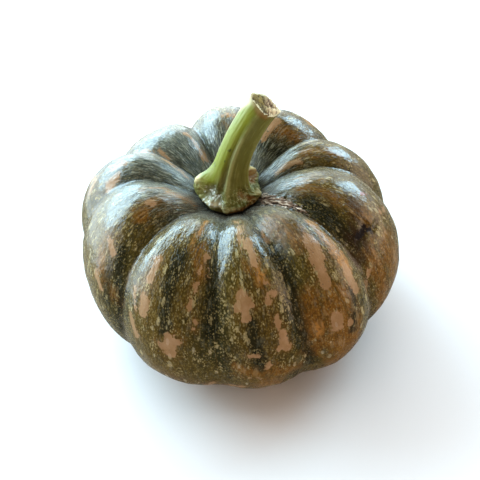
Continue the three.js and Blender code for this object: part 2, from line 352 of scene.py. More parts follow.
def cells(vector, scale):
    """The gap to the nearest of scattered points, in shares of their spacing, and that point's chance."""
    node = vector.tree.nodes.new("ShaderNodeTexVoronoi")
    feed(vector.tree, node.inputs["Vector"], vector)
    node.inputs["Scale"].default_value = scale
    return Formula(vector.tree, node.outputs["Distance"]), Formula(vector.tree, node.outputs["Color"])


# Fruit, its rind: waxy and glossy over fine bumps. The ground runs from green-black to olive brown, with
# fine tan flecks that draw out along the lobes, crisp peach patches, and orange and dark green bands.


def paint(code):
    """A colour as Cycles reads it, from its six-figure screen code."""
    shares = [int(code[at : at + 2], 16) / 255 for at in (0, 2, 4)]
    return tuple(((share + 0.055) / 1.055) ** 2.4 if share > 0.04045 else share / 12.92 for share in shares)


def tinted(under, over, share):
    """One colour laid over another by a share. Sockets 0, 6 and 7 are the node's share and colours."""
    node = share.tree.nodes.new("ShaderNodeMix")
    node.data_type = "RGBA"
    for slot, value in zip((0, 6, 7), (share, under, over)):
        feed(share.tree, node.inputs[slot], value)
    return Formula(share.tree, node.outputs[2])


def new_material(name):
    """A material, its tree and its shader."""
    material = bpy.data.materials.new(name)
    material.use_nodes = True
    return material, material.node_tree, material.node_tree.nodes["Principled BSDF"]


def read(tree, label, output=2):
    """A value that the mesh carries: output 2 is a number, 1 a vector."""
    return made_by(tree, "ShaderNodeAttribute", output=output, attribute_name=label)


def raise_surface(tree, shader, height, depth):
    """Feeds a height in shares of a depth in metres into a shader's normal."""
    bump = made_by(tree, "ShaderNodeBump", {"Height": height, "Distance": depth, "Strength": 1.0})
    tree.links.new(bump.socket, shader.inputs["Normal"])


# A blotch is the effect that rind and bark share: a mark whose edge the skin's unevenness breaks up.
blotch_group = bpy.data.node_groups.new("blotch", "ShaderNodeTree")
for label in ("Depth", "Unevenness", "Outer Edge", "Inner Edge"):
    blotch_group.interface.new_socket(label, in_out="INPUT", socket_type="NodeSocketFloat")
blotch_group.interface.new_socket("Mask", in_out="OUTPUT", socket_type="NodeSocketFloat")
entry = blotch_group.nodes.new("NodeGroupInput")
depth, unevenness, outer_edge, inner_edge = [Formula(blotch_group, socket) for socket in entry.outputs[:4]]
mask = soft_step(depth + unevenness, outer_edge, inner_edge)
feed(blotch_group, blotch_group.nodes.new("NodeGroupOutput").inputs["Mask"], mask)


def blotch(tree, kind, unevenness, outer_edge, inner_edge):
    """Where a mark covers the skin, 0 to 1. Its edges are depths into the mark that the mesh carries."""
    inputs = {"Depth": read(tree, kind), "Unevenness": unevenness}
    inputs.update({"Outer Edge": outer_edge, "Inner Edge": inner_edge})
    return made_by(tree, "ShaderNodeGroup", inputs, node_tree=blotch_group)


rind, tree, shader = new_material("waxy_rind")
spot = read(tree, "skin_map", 1)
side = size_of(read(tree, "across"))
skin_place = read(tree, "skin_place")
to_the_back = sine(read(tree, "turn"))
to_the_left = greater(cosine(read(tree, "turn")) * -1, 0)
drift = noise(stretched(spot, 1, 1, 0.5), 45, 2)
wander = noise(stretched(spot, 1, 1, 0.7), 190, 2) - 0.5
fray = noise(spot, 640, 2, 0.6) - 0.5
near_crest = soft_step(side + (drift - 0.5) * 0.9, 0.8, 0.25)
# Greyer skin round the pit. It reaches further out on the lobes behind and on the left, the window side,
# where it is partly a painted sheen.
near_pit = soft_step(skin_place + wander - to_the_back * 0.6 - to_the_left * 0.9, 4.3, 2.3)
in_brown = blotch(tree, "brown", wander * 12 + fray * 3, -3, 4)
in_orange = blotch(tree, "orange", wander * 9 + fray * 4, -1.6, 2.4)
in_dark = blotch(tree, "dark", wander * 9 + fray * 5, -2.6, 2.2)
in_tan = blotch(tree, "tan", wander * 8 + fray * 4, -0.3, 0.6)
round_tan = blotch(tree, "tan", wander * 10 + fray * 3, -4.5, 0.5)
in_cork = blotch(tree, "cork", wander * 4 + fray * 3, -0.3, 0.5)
in_sore = blotch(tree, "sore", wander * 6 + fray * 6, -0.5, 0.2)
round_sore = blotch(tree, "sore", wander * 9 + fray * 9, -3.5, 0.5)
bruise_and_painted_shade = blotch(tree, "bruise", wander * 8 + fray * 6, -5, 2)
in_dull = blotch(tree, "dull", wander * 16 + fray * 8, -6, 4.5)
in_rust = blotch(tree, "rust", fray * 4, -0.6, 0.4)

# The ground colour, greyer round the stem, and paler on the lobes behind and on the left, a painted sheen
# of the window on that side.
painted_window_sheen = soft_step(to_the_left * 0.8 + to_the_back * 0.6, 0.4, 1.0)
painted_window_sheen = painted_window_sheen * soft_step(skin_place + wander * 2, 6.4, 4.0)
at_stem = soft_step(skin_place + wander * 2, 3.0, 2.4) * (1 - in_dark)
ground = tinted(paint("32321a"), paint("5c4c20"), soft_step(drift + wander * 0.5, 0.34, 0.6))
ground = tinted(ground, paint("70521a"), near_crest * 0.5)
ground = tinted(ground, paint("8c5b20"), in_brown * 0.8)
ground = tinted(ground, paint("464a3e"), near_pit * (1 - in_brown * 0.6) * 0.85)
ground = tinted(ground, paint("815828"), round_tan * (1 - in_dark) * 0.4)
ground = tinted(ground, paint("1d1f14"), in_dark * 0.88)
ground = tinted(ground, paint("b0783a"), in_orange * 0.85)
ground = tinted(ground, paint("6c6865"), at_stem * 0.5)
ground = tinted(ground, paint("858c80"), painted_window_sheen * 0.34)

# Long flecks and small dots, fewer in the dark and brown bands and underneath, and a dark net round them.
bend = made_by(tree, "ShaderNodeCombineXYZ", {"X": fray, "Z": wander})
bent = joined(spot, scaled(bend, 1.2 * MM))
fleck_gap, fleck_chance = cells(stretched(bent, 1, 1, 0.45), 380)
dot_gap, dot_chance = cells(stretched(bent, 1, 1, 0.65), 980)
underneath = soft_step(skin_place + wander * 2, 7.7, 8.7)
calm = greater(greater(in_brown * 0.7, underneath * 0.8), in_dark * 0.5)
rich = soft_step(noise(spot, 70, 1) - side * 0.12, 0.36, 0.52)
fleck_size = (fleck_chance - 0.55) * 1.3 + rich * 0.12 - calm * 0.15
dot_size = dot_chance * 0.5 + 0.08 + rich * 0.08 - calm * 0.15
flecked = soft_step(fleck_gap - fleck_size, 0.09, -0.09)
dotted = soft_step(dot_gap - dot_size, 0.12, -0.12)
fleck_colour = tinted(paint("7d6b3c"), paint("b5a06c"), soft_step(fleck_chance, 0.5, 0.7))
fleck_colour = tinted(fleck_colour, paint("84866f"), near_pit * 0.8)
speckled = greater(flecked * 0.8, dotted * 0.65) * (1 - in_orange * 0.8)
netted = soft_step(dot_gap, 0.34, 0.6) * (1 - in_orange * 0.7)
blackened = soft_step(noise(stretched(spot, 1, 1, 0.6), 700, 3, 0.65), 0.5, 0.62)
colour = tinted(ground, fleck_colour, speckled * (1 - calm * 0.55) * (1 - near_pit * 0.5))
colour = tinted(colour, paint("1d1a0b"), netted * 0.36)
colour = tinted(colour, paint("26220f"), blackened * 0.5)

# Streaks that run out of the pit, wear in the brown bands, the tan patches, and painted shade along the
# furrows.
streak = noise(stretched(spot, 1, 1, 0.3), 600, 3, 0.6)
dark_streak = soft_step(streak, 0.48, 0.38) * near_pit
colour = tinted(colour, paint("1d2118"), dark_streak * 0.7)
colour = tinted(colour, paint("9d9e8b"), soft_step(streak, 0.52, 0.64) * (near_pit * 0.62 + 0.1))
worn = noise(stretched(spot, 1, 1, 0.25), 300, 3, 0.6)
colour = tinted(colour, paint("4a3a18"), soft_step(worn, 0.52, 0.66) * in_brown * 0.6)
colour = tinted(colour, paint("a5855a"), soft_step(worn, 0.46, 0.34) * in_brown * 0.35)
tan_colour = tinted(paint("ac8662"), paint("9a7550"), soft_step(wander, -0.15, 0.15))
colour = tinted(colour, tan_colour, in_tan * 0.86)
# Painted shade: the floors of the sharper furrows are darkened.
furrow_painted_shade = soft_step(side, 0.9, 1.0) * soft_step(read(tree, "softness"), 0.2, 0.1)
colour = tinted(colour, paint("2a1d0d"), furrow_painted_shade * 0.5)

# The scars, fine dark veins round the pit, scattered pores, and the cracked cork of the healed split.
# The bruise is brown skin, darkened further as painted shade of the hollow round the dent.
colour = tinted(colour, paint("35230f"), bruise_and_painted_shade * soft_step(worn, 0.34, 0.56) * 0.75)
colour = tinted(colour, paint("2e1c0e"), round_sore * 0.65)
colour = tinted(colour, paint("1a0c05"), in_sore * 0.97)
colour = tinted(colour, paint("a0402c"), in_rust * 0.75)
vein = size_of(noise(stretched(spot, 1, 1, 0.55), 150, 2, 0.6) - 0.5)
veined = soft_step(vein, 0.016, 0.004) * soft_step(skin_place + wander * 3, 6.0, 4.8)
veined = veined * (1 - in_cork) * (1 - in_tan * 0.7)
colour = tinted(colour, paint("1e1e12"), veined * 0.5)
pore_gap, pore_chance = cells(bent, 430)
pores = soft_step(pore_gap, 0.17, 0.1) * soft_step(pore_chance, 0.5, 0.6) * (1 - in_cork)
colour = tinted(colour, paint("1b170c"), pores * 0.75)
crack = noise(stretched(spot, 1, 1, 0.4), 520, 3, 0.65)
ridge_colour = tinted(paint("a08069"), paint("e6d2ba"), soft_step(crack, 0.48, 0.58))
cork_colour = tinted(paint("24150c"), ridge_colour, soft_step(crack, 0.39, 0.46))
colour = tinted(colour, cork_colour, in_cork)
feed(tree, shader.inputs["Base Color"], colour)

# The gloss, duller on flecks, pores and scars, a warm down at the edges, and the finest relief.
roughness = 0.12 + speckled * 0.2 + pores * 0.4 + veined * 0.25 + dark_streak * 0.25
dry = greater(greater(in_cork * 0.6, in_sore * 0.85), greater(bruise_and_painted_shade * 0.12, in_dull * 0.3))
feed(tree, shader.inputs["Roughness"], roughness + dry)
shader.inputs["Sheen Weight"].default_value = 0.3
shader.inputs["Sheen Roughness"].default_value = 0.35
shader.inputs["Sheen Tint"].default_value = (1.0, 0.8, 0.6, 1)
grain = noise(spot, 1250, 2, 0.6)
dimple = noise(stretched(spot, 1, 1, 0.8), 340, 3, 0.55)
wrinkle = noise(stretched(spot, 1, 1, 0.4), 700, 3, 0.6)
wrinkled = greater(soft_step(skin_place + wander * 2, 3.7, 2.6), in_dull * 0.8)
cracked = soft_step(crack, 0.38, 0.55) * in_cork
raised = grain * (wrinkled * 0.08 + 0.02) + dimple * 0.36 + wrinkle * wrinkled * 0.14
raised = raised - pores * 0.06 - veined * 0.04 + speckled * 0.012 + in_tan * 0.012 + cracked * 0.5
raise_surface(tree, shader, raised, 1 * MM)

# Fruit, its body: the flat sheet wraps round the axis by the rule of the lobes, and the relief of the
# rind, the healed split and the dent lifts it off that shape.


def new_geometry_tree(name, inputs):
    """A new geometry tree with named inputs, and those inputs as formulas by their names."""
    tree = bpy.data.node_groups.new(name, "GeometryNodeTree")
    tree.interface.new_socket("Geometry", in_out="INPUT", socket_type="NodeSocketGeometry")
    tree.interface.new_socket("Geometry", in_out="OUTPUT", socket_type="NodeSocketGeometry")
    for label, value in inputs.items():
        kind = "NodeSocketMaterial" if isinstance(value, bpy.types.Material) else "NodeSocketFloat"
        tree.interface.new_socket(label, in_out="INPUT", socket_type=kind)
    entry = tree.nodes.new("NodeGroupInput")
    given = {socket.name: Formula(tree, socket) for socket in entry.outputs if socket.name}
    return tree, given


def carried(tree, label, kind="FLOAT"):
    """A value that the mesh carries at its corners."""
    return made_by(tree, "GeometryNodeInputNamedAttribute", {"Name": label}, data_type=kind)


def finish_tree(tree, geometry, material):
    """Ends a geometry tree with real faces, smooth shading and their material."""
    smooth = made_by(tree, "GeometryNodeSetShadeSmooth", {"Geometry": geometry})
    real = made_by(tree, "GeometryNodeRealizeInstances", {"Geometry": smooth})
    dressed = made_by(tree, "GeometryNodeSetMaterial", {"Geometry": real, "Material": material})
    leaving = tree.nodes.new("NodeGroupOutput")
    tree.links.new(dressed.socket, leaving.inputs[0])


def apply_tree(piece, tree, inputs):
    """Runs a geometry tree on a piece with its inputs, and keeps the result as the piece's plain mesh."""
    modifier = piece.modifiers.new(tree.name, "NODES")
    modifier.node_group = tree
    for item in tree.interface.items_tree:
        if item.in_out == "INPUT" and item.name in inputs:
            modifier[item.identifier] = inputs[item.name]
    depsgraph = bpy.context.evaluated_depsgraph_get()
    grown = bpy.data.meshes.new_from_object(
        piece.evaluated_get(depsgraph), preserve_all_data_layers=True, depsgraph=depsgraph
    )
    piece.modifiers.clear()
    piece.data = grown


fruit_inputs = {
    "Lobe Arch": LOBE_ARCH,
    "Pit Radius": 18 * MM,
    "Full Radius": 95 * MM,
    "Full Height": 100 * MM,
    "Lift Start": 12 * MM,
    "Lift End": 52 * MM,
    "Growth Limit": 1.2,
    "Middle X": FOOTPRINT_MIDDLE[0] * MM,
    "Middle Y": FOOTPRINT_MIDDLE[1] * MM,
    "Furrow Wander": 0.02,
    "Swell Height": 1.6 * MM,
    "Lump Height": 0.9 * MM,
    "Even Below": 4 * MM,
    "Even Within": 20 * MM,
    "Lumpy Beyond": 30 * MM,
    "Cork Height": 1.5 * MM,
    "Sore Depth": 1.4 * MM,
    "Rind": rind,
}
tree, given = new_geometry_tree("grow_fruit", fruit_inputs)
arch = given["Lobe Arch"]
spot = carried(tree, "skin_map", "FLOAT_VECTOR")
softened = 1 - square_root((1 - size_of(carried(tree, "across"))) ** 2 + carried(tree, "softness") ** 2)
fall = (1 - square_root(1 - arch * softened**2)) / (1 - square_root(1 - arch))
sink = fall * carried(tree, "furrow_depth")
crest_radius, crest_height = carried(tree, "crest_radius"), carried(tree, "crest_height")
radius = crest_radius + (carried(tree, "furrow_radius") - crest_radius) * sink
height = crest_height + (carried(tree, "furrow_height") - crest_height) * sink
limit = given["Growth Limit"]
out_share = (radius - given["Pit Radius"]) / (given["Full Radius"] - given["Pit Radius"])
out_share = lesser(greater(out_share, 0), limit)
up_share = lesser(greater(height / given["Full Height"], 0), limit)
lift = ramp(radius, given["Lift Start"], given["Lift End"])
height = greater(height + carried(tree, "growth_up") * up_share * lift, 0)
radius = radius + carried(tree, "growth_out") * out_share
turned = carried(tree, "turn") + (noise(spot, 30, 2) - 0.5) * given["Furrow Wander"]
turned_x = radius * cosine(turned) - given["Middle X"]
turned_y = radius * sine(turned) - given["Middle Y"]
position = made_by(tree, "ShaderNodeCombineXYZ", {"X": turned_x, "Y": turned_y, "Z": height})
wrapped = made_by(tree, "GeometryNodeSetPosition", {"Geometry": given["Geometry"], "Position": position})
closed = made_by(tree, "GeometryNodeMergeByDistance", {"Geometry": wrapped, "Distance": 0.001 * MM})
facing_out = made_by(tree, "GeometryNodeFlipFaces", {"Mesh": closed})
free = made_by(tree, "GeometryNodeInputPosition")
free_height = made_by(tree, "ShaderNodeSeparateXYZ", {0: free}, output=2)
clear = soft_step(free_height, 0.0, given["Even Below"])
clear = clear * soft_step(radius, given["Even Within"], given["Lumpy Beyond"])
swells = (0.5 - noise(spot, 28, 1)) * given["Swell Height"]
lumps = (0.5 - noise(spot, 110, 2)) * given["Lump Height"]
torn = noise(stretched(spot, 1, 1, 0.4), 520, 3, 0.65)
in_scar = soft_step(carried(tree, "cork") + (torn - 0.5) * 4, -1.0, 0.8)
scar = in_scar * (soft_step(torn, 0.38, 0.55) - 0.25) * given["Cork Height"]
in_dent = soft_step(carried(tree, "sore") + (torn - 0.5) * 9, -3, 1)
dent = in_dent * (torn + 0.4) * given["Sore Depth"]
normal = made_by(tree, "GeometryNodeInputNormal")
relief = scaled(normal, (swells + lumps) * clear + scar - dent)
lumpy = made_by(tree, "GeometryNodeSetPosition", {"Geometry": facing_out, "Offset": relief})
finish_tree(tree, lumpy, given["Rind"])
apply_tree(fruit_skin, tree, fruit_inputs)
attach(fruit_skin, "root")
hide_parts("fruit")

# Stem: the piece of fruit stalk that was cut with the squash, green and woody, with uneven ribs that run
# down into a wide, knobbly, corky foot. The foot has grown onto the skin of the pit, and the torn end has
# dried to straw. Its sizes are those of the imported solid, in millimetres.
STEM_LINE = [  # x, y, z of its middle, its radius, depth of its grooves as a share of that, foot to cut
    (0, 0, 87, 18.2, 0.05), (0, 0, 89.3, 19.6, 0.12), (0.1, 0, 93, 17.0, 0.17), (1.3, 0.3, 98.5, 12.4, 0.2),
    (3.5, 1, 107, 9.9, 0.19), (7.6, 2, 117.5, 9.5, 0.14), (13.6, 3.2, 127.5, 9.2, 0.06),
    (19.8, 4.4, 135.6, 9.3, 0.03), (23.7, 5.0, 139.4, 9.9, 0.04),
]
STEM_RIBS = [  # angle at the foot, height from the grooves' floor at 0 to a rib's top at 1
    (8, 0.0), (30, 1.0), (52, 0.45), (74, 0.0), (100, 0.6), (118, 1.0), (150, 0.1), (172, 0.7), (190, 1.0),
    (212, 0.95), (234, 0.75), (250, 0.05), (263, 0.85), (276, 0.45), (305, 0.25), (322, 0.6), (333, 0.95),
    (350, 0.35),
]
FOOT_SPREAD = [  # angle, millimetres by which the foot leans out there
    (30, 3), (74, 0), (118, 0.5), (154, 0), (190, 3.2), (227, 0), (264, 0.5), (298, 0), (333, -1),
]
FOOT_SWELLINGS = [  # angle, place on the line, reach in both, millimetres outwards
    (187, 2.6, 16, 0.45, 1.9), (224, 2.35, 19, 0.5, -2.2), (232, 1.5, 24, 0.32, 2.0),
    (240, 0.8, 22, 0.22, -0.4), (268, 1.1, 20, 0.7, 1.0), (303, 2.3, 17, 0.6, -2.0),
    (336, 1.8, 15, 0.4, 3.0), (11, 2.75, 15, 0.45, -6.0), (36, 2.8, 13, 0.5, 3.4), (12, 3.6, 12, 0.3, 1.6),
    (356, 2.05, 10, 0.3, 1.8), (207, 0.7, 24, 0.8, -2.6), (318, 1.45, 9, 0.6, -1.8),
    (322, 7.4, 48, 1.3, -1.5), (75, 8.0, 36, 0.8, 1.0), (345, 8.0, 30, 0.7, -0.8),
]
BARK_TINTS = {  # angle, place, reach in both, strength
    "lime": [(222, 5.2, 32, 2.2, 1.0), (205, 3.4, 18, 0.8, 0.8), (236, 7.0, 26, 1.0, 0.4)],
    # Straw patches. Those on the left knob, on the left edge and on the collar are painted highlight and
    # sheen.
    "straw": [
        (187, 2.6, 13, 0.4, 1.0), (238, 1.4, 26, 0.5, 1.0), (272, 0.95, 24, 0.5, 0.7),
        (28, 3.05, 18, 0.35, 1.4), (180, 5.5, 12, 2.2, 0.6), (38, 2.6, 14, 0.6, 1.2),
        (338, 1.9, 16, 0.35, 0.8), (170, 7.7, 42, 0.8, 2.2), (12, 3.5, 12, 0.3, 1.0),
    ],
    "band": [(264, 3.6, 8, 1.8, 1.0), (262, 5.4, 7, 0.7, 0.6)],
    # Painted shade in the hollows of the foot and in the groove beside the front rib.
    "hollow_shade": [
        (229, 2.35, 16, 0.45, 1.4), (240, 2.9, 12, 0.5, 0.6), (249, 3.6, 6, 1.2, 0.6),
        (214, 1.2, 12, 0.5, 0.5),
    ],
    # Brown bark. The two spots low on the right also paint shade in the hollow and the crease beside the
    # right knob.
    "brown": [
        (300, 2.2, 16, 0.7, 0.55), (13, 2.7, 17, 0.5, 2.6), (318, 1.4, 10, 0.5, 0.8),
        (290, 0.5, 50, 0.5, 0.9), (275, 7.8, 40, 0.5, 0.7),
    ],
    "bruise": [
        (240, 5.0, 4, 0.12, 1.0), (236, 4.4, 3, 0.1, 0.9), (233, 4.95, 3, 0.08, 0.7),
        (244, 3.5, 3, 0.15, 0.5),
    ],
    "sap": [(240, 1.7, 22, 0.42, 1.4), (224, 2.4, 18, 0.4, 0.7), (225, 1.1, 22, 0.5, 0.5)],
}
LAST = len(STEM_LINE) - 1
STEPS_UNDER = 6
STEPS_UP = 190
STEPS_ON_CUT = 26
STEPS_AROUND = 260
STEM_GAP = 0.5  # between the foot's rim and the skin of the pit


def soft_spots(spots, angles, places):
    """Sum of soft spots on the bark: angle, place, reach in both, strength in the middle."""
    total = np.zeros((len(angles), len(places)))
    for angle_at, place_at, angle_reach, place_reach, strength in spots:
        off = ((angles - angle_at + 180) % 360 - 180) / angle_reach
        total += strength * np.exp(-(off**2)[:, None] - ((places - place_at) / place_reach) ** 2)
    return total


def round_the_stem(points, angles):
    """Heights at angles from a ring of points, with level tops and floors."""
    starts, heights = np.array(points, float).T
    before = (np.searchsorted(starts, angles % 360, side="right") - 1) % len(starts)
    after = (before + 1) % len(starts)
    share = (angles - starts[before]) % 360 / ((starts[after] - starts[before]) % 360)
    return heights[before] + (heights[after] - heights[before]) * (1 - np.cos(share * math.pi)) / 2


stem_angle = np.linspace(0, 360, STEPS_AROUND + 1)
rise = np.linspace(0, 1, STEPS_UP) ** 1.25 * LAST
stem_place = np.concatenate([np.zeros(STEPS_UNDER), rise, np.full(STEPS_ON_CUT, LAST)])
rim_share = np.concatenate([
    np.arange(STEPS_UNDER) / STEPS_UNDER,
    np.ones(STEPS_UP),
    1 - np.arange(1, STEPS_ON_CUT + 1) / STEPS_ON_CUT,
])
on_cut = np.concatenate([np.zeros(STEPS_UNDER + STEPS_UP), np.ones(STEPS_ON_CUT)])
line = np.array(STEM_LINE, float)
before_line, after_line = 2 * line[0] - line[1], 2 * line[-1] - line[-2]
stem_rings = smooth_curve(STEM_LINE, before_line, after_line, stem_place)
further = smooth_curve(STEM_LINE, before_line, after_line, np.minimum(stem_place + 0.01, LAST))
nearer_foot = smooth_curve(STEM_LINE, before_line, after_line, np.maximum(stem_place - 0.01, 0))
along = (further - nearer_foot)[:, :3]
along /= np.linalg.norm(along, axis=1)[:, None]
rightward = np.array([1, 0, 0]) - along * along[:, :1]
rightward /= np.linalg.norm(rightward, axis=1)[:, None]
backward = np.cross(along, rightward)
foot_share = np.clip((stem_place - 0.6) / 3.4, 0, 1)
spread = round_the_stem(FOOT_SPREAD, stem_angle)[:, None] * np.sin(foot_share * math.pi) ** 2
rib = round_the_stem(STEM_RIBS, stem_angle)[:, None]
girth, groove = stem_rings[:, 3], stem_rings[:, 4]

# The rim and the underside of the foot follow the skin of the pit.
skin_tree = BVHTree.FromPolygons(
    [corner.co for corner in fruit_skin.data.vertices], [face.vertices for face in fruit_skin.data.polygons]
)
foot_radius = (girth[0] * (1 - groove[0] * (1 - rib)) * np.minimum(rim_share, 1))[:, : STEPS_UNDER + 1]
settle = np.zeros((len(stem_angle), len(stem_place)))
for column, degrees in enumerate(stem_angle):
    for row in range(STEPS_UNDER + 1):
        reach = foot_radius[column, row]
        x = reach * math.cos(math.radians(degrees)) - FOOTPRINT_MIDDLE[0]
        y = reach * math.sin(math.radians(degrees)) - FOOTPRINT_MIDDLE[1]
        hit = skin_tree.ray_cast(Vector((x, y, 150)) * MM, Vector((0, 0, -1)))[0]
        settle[column, row] = hit.z / MM + STEM_GAP - STEM_LINE[0][2]
fading = np.maximum(1 - stem_place[STEPS_UNDER:], 0)
settle[:, STEPS_UNDER:] = settle[:, STEPS_UNDER : STEPS_UNDER + 1] * fading

stem_turn = np.radians(stem_angle)[:, None]
walked = np.cumsum(np.append(0, np.linalg.norm(np.diff(stem_rings[:, :3], axis=0), axis=1)))
bark_map = np.stack(np.broadcast_arrays(np.cos(stem_turn) * 9, np.sin(stem_turn) * 9, walked), -1) * MM
stem_middle = stem_rings[:, :3] - [*FOOTPRINT_MIDDLE, 0]
stem_bark = flat_sheet("stem_bark", len(stem_angle), len(stem_place), {
    "turn": stem_turn,
    "place": stem_place[None, :],
    "rim_share": rim_share[None, :],
    "on_cut": on_cut[None, :],
    "middle": stem_middle[None] * MM,
    "along": along[None],
    "rightward": rightward[None],
    "backward": backward[None],
    "girth": girth[None, :] * MM,
    "groove": groove[None, :],
    "rib": rib,
    "swelling": (spread + soft_spots(FOOT_SWELLINGS, stem_angle, stem_place)) * MM,
    "settle": settle * MM,
    "bark_map": bark_map,
    **{kind: soft_spots(spots, stem_angle, stem_place) for kind, spots in BARK_TINTS.items()},
})

# Stem, its bark: olive to lime green and a little shiny, with straw and brown blotches, glossy sap low on
# the front, a crumbly foot, and torn fibres on the cut, pale on one side. Painted light on it: highlights
# among the straw patches, a sheen and white glints over the sap, and shade in the foot's hollows, groove
# and crease and under its rim.
bark, tree, shader = new_material("stem_bark")
spot = read(tree, "bark_map", 1)
on_cut, place_up, rib_top = read(tree, "on_cut"), read(tree, "place"), read(tree, "rib")
mottle = noise(spot, 160, 3, 0.6) - 0.5
fibre = noise(stretched(spot, 1, 1, 0.12), 900, 3, 0.6)
crumbs = noise(spot, 1000, 2, 0.6)
low = soft_step(place_up, 3.4, 2.0)
colour = tinted(paint("5f5d1e"), paint("7f7c3c"), soft_step(rib_top + mottle, 0.3, 1.1))
colour = tinted(colour, paint("81891a"), blotch(tree, "lime", mottle * 0.6, 0.15, 0.85) * 0.9)
colour = tinted(colour, paint("96945c"), blotch(tree, "band", mottle * 0.5, 0.3, 0.9) * 0.7)
# Painted shade: the hollows of the foot and the groove by the front rib are darkened.
colour = tinted(colour, paint("565220"), blotch(tree, "hollow_shade", mottle * 0.9, 0.1, 1.0) * 0.85)
# Straw blotches, partly painted highlight and sheen on the left knob, the left edge and the collar.
colour = tinted(colour, paint("d8c48c"), blotch(tree, "straw", mottle * 0.7, 0.25, 1.0) * 0.85)
# Brown bark, partly painted shade in the hollow and the crease by the right knob.
colour = tinted(colour, paint("804e10"), blotch(tree, "brown", mottle * 0.7, 0.15, 0.8) * 0.85)
colour = tinted(colour, paint("aaa262"), soft_step(fibre, 0.5, 0.7) * 0.25)
colour = tinted(colour, paint("3c451c"), soft_step(mottle, 0.12, 0.22) * 0.35)
colour = tinted(colour, paint("353a10"), blotch(tree, "bruise", mottle * 0.3, 0.3, 0.8) * 0.8)
colour = tinted(colour, paint("cfc894"), soft_step(crumbs, 0.55, 0.66) * low * 0.45)
colour = tinted(colour, paint("3d3a14"), soft_step(crumbs, 0.46, 0.36) * low * 0.4)
# Painted sheen and glints: the glossy sap patch low on the front is paled blue-white and dotted with white
# specks.
glint_gap, glint_chance = cells(spot, 1100)
on_sap_and_sheen = blotch(tree, "sap", mottle, 0.15, 0.6)
painted_glints = soft_step(glint_gap - (glint_chance - 0.05) * 0.6, 0.08, -0.08) * on_sap_and_sheen
colour = tinted(colour, paint("c9cfbc"), blotch(tree, "sap", mottle * 0.8, 0.2, 1.1) * 0.35)
colour = tinted(colour, paint("e3e8de"), painted_glints * 0.75)
colour = tinted(colour, paint("8f7a48"), soft_step(place_up + mottle * 0.8, 7.5, 7.95) * 0.6)
# Painted shade: the underside and lowest rim of the foot are darkened nearly black, the shadow gap where it
# sits on the pit.
colour = tinted(colour, paint("1c130a"), soft_step(place_up + mottle * 0.4, 0.65, 0.3) * 0.92)
face_x = made_by(tree, "ShaderNodeSeparateXYZ", {0: read(tree, "cut_spot", 1)})
pale_side = soft_step(face_x + mottle * 6 * MM, -1.5 * MM, 2.5 * MM)
fibre_end = soft_step(read(tree, "tear"), 0.4, 0.62)
at_rim = soft_step(read(tree, "rim_share") + mottle * 0.4, 0.8, 0.95)
olive_colour = tinted(paint("4a3c18"), paint("8f7a3e"), fibre_end)
pale_colour = tinted(paint("4f2f14"), paint("dfc397"), fibre_end)
torn_colour = tinted(olive_colour, pale_colour, pale_side)
torn_colour = tinted(torn_colour, paint("ddcfa6"), at_rim * 0.8)
colour = tinted(colour, torn_colour, on_cut)
feed(tree, shader.inputs["Base Color"], colour)
wet = blotch(tree, "sap", mottle * 0.5, 0.25, 0.8)
feed(tree, shader.inputs["Roughness"], 0.48 + low * 0.16 - wet * 0.26 + on_cut * 0.35)
shader.inputs["Specular IOR Level"].default_value = 0.35
rough = crumbs * low * 0.35 + noise(spot, 1500, 2, 0.6) * 0.07 + fibre * 0.1
raise_surface(tree, shader, rough, 1 * MM)

# Stem, its body: the flat sheet wraps round the leaning line, its ribs twist a little on the way up, and
# the torn fibres of the cut, the crumbs of the foot and the strands of the bark stand out of it.
stem_inputs = {
    "Twist": math.radians(-13),
    "Cut Slope": math.tan(math.radians(2)),
    "Cut Low Side": math.radians(262),
    "Peak Side": math.radians(152),
    "Peak Height": 0.3 * MM,
    "Lip Side": math.radians(32),
    "Lip Height": 1.9 * MM,
    "Tear Height": 2.2 * MM,
    "Wart Height": 1.1 * MM,
    "Knot Height": 0.9 * MM,
    "Strand Height": 0.35 * MM,
    "Bark": bark,
}
tree, given = new_geometry_tree("grow_stem", stem_inputs)
place_up, rim = carried(tree, "place"), carried(tree, "rim_share")
turned = carried(tree, "turn") + given["Twist"] * place_up / LAST
rib_share = 1 - carried(tree, "groove") * (1 - carried(tree, "rib"))
radius = (carried(tree, "girth") * rib_share + carried(tree, "swelling")) * rim
cut_x, cut_y = radius * cosine(turned), radius * sine(turned)
cut_spot = made_by(tree, "ShaderNodeCombineXYZ", {"X": cut_x, "Y": cut_y})
leaning = cosine(turned - given["Cut Low Side"]) * -1
slant = given["Cut Slope"] * leaning * radius * soft_step(place_up, 5.5, LAST)
near_tear = soft_step(place_up, 7.4, LAST)
fibres = noise(stretched(cut_spot, 1, 0.35, 1), 620, 3, 0.7, 0.6)
coarse = noise(cut_spot, 190, 2, 0.6)
tear = (fibres - 0.5) * 1.5 + (coarse - 0.5) * 1.3 + soft_step(rim, 1.0, 0.5) * 0.1
peak = soft_step(cosine(turned - given["Peak Side"]), 0.7, 1.0) * soft_step(place_up, 7.0, LAST)
peak = peak * soft_step(rim, 0.5, 1.0)
lip = soft_step(cosine(turned - given["Lip Side"]), -0.2, 0.8) * soft_step(place_up, 6.8, LAST)
lip = lip * soft_step(rim, 0.0, 0.8)
torn = tear * near_tear * given["Tear Height"] + peak * given["Peak Height"] + lip * given["Lip Height"]
across_line = scaled(carried(tree, "rightward", "FLOAT_VECTOR"), cut_x)
across_line = joined(across_line, scaled(carried(tree, "backward", "FLOAT_VECTOR"), cut_y))
up_line = scaled(carried(tree, "along", "FLOAT_VECTOR"), slant + torn)
upright = made_by(tree, "ShaderNodeCombineXYZ", {"Z": carried(tree, "settle")})
position = joined(carried(tree, "middle", "FLOAT_VECTOR"), across_line)
position = joined(joined(position, up_line), upright)
